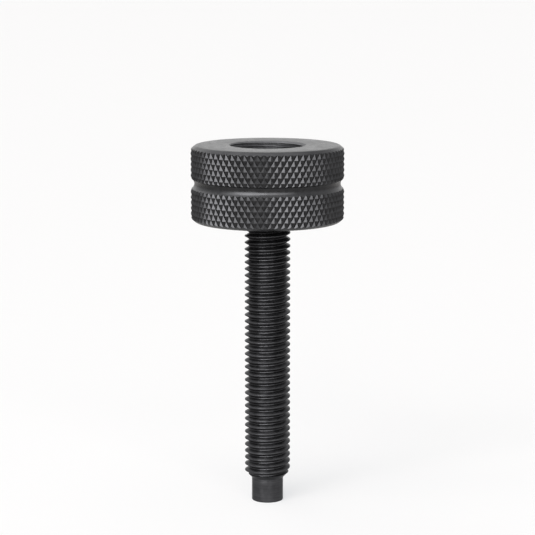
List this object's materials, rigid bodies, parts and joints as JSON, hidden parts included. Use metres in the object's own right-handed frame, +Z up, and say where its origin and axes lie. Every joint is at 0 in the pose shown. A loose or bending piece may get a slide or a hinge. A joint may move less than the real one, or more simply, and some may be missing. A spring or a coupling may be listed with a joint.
{
  "type": "threaded handwheel",
  "caption": "Round knurled steel handwheel with a finger groove and a tapped socket in its top, fixed on a long threaded spindle that ends in a plain dog point.",
  "frame": {"origin": "on the spindle's axis, at the foot of the dog point", "axes": "+Z up along the spindle's axis, from the dog point to the wheel"},
  "size_m": [0.04, 0.04, 0.095],
  "materials": {
    "wheel_steel": "burnished black, satin",
    "spindle_steel": "burnished black, satin"
  },
  "bodies": {
    "root": {"handwheel": "wheel_steel", "spindle": "spindle_steel"}
  },
  "joints": []
}
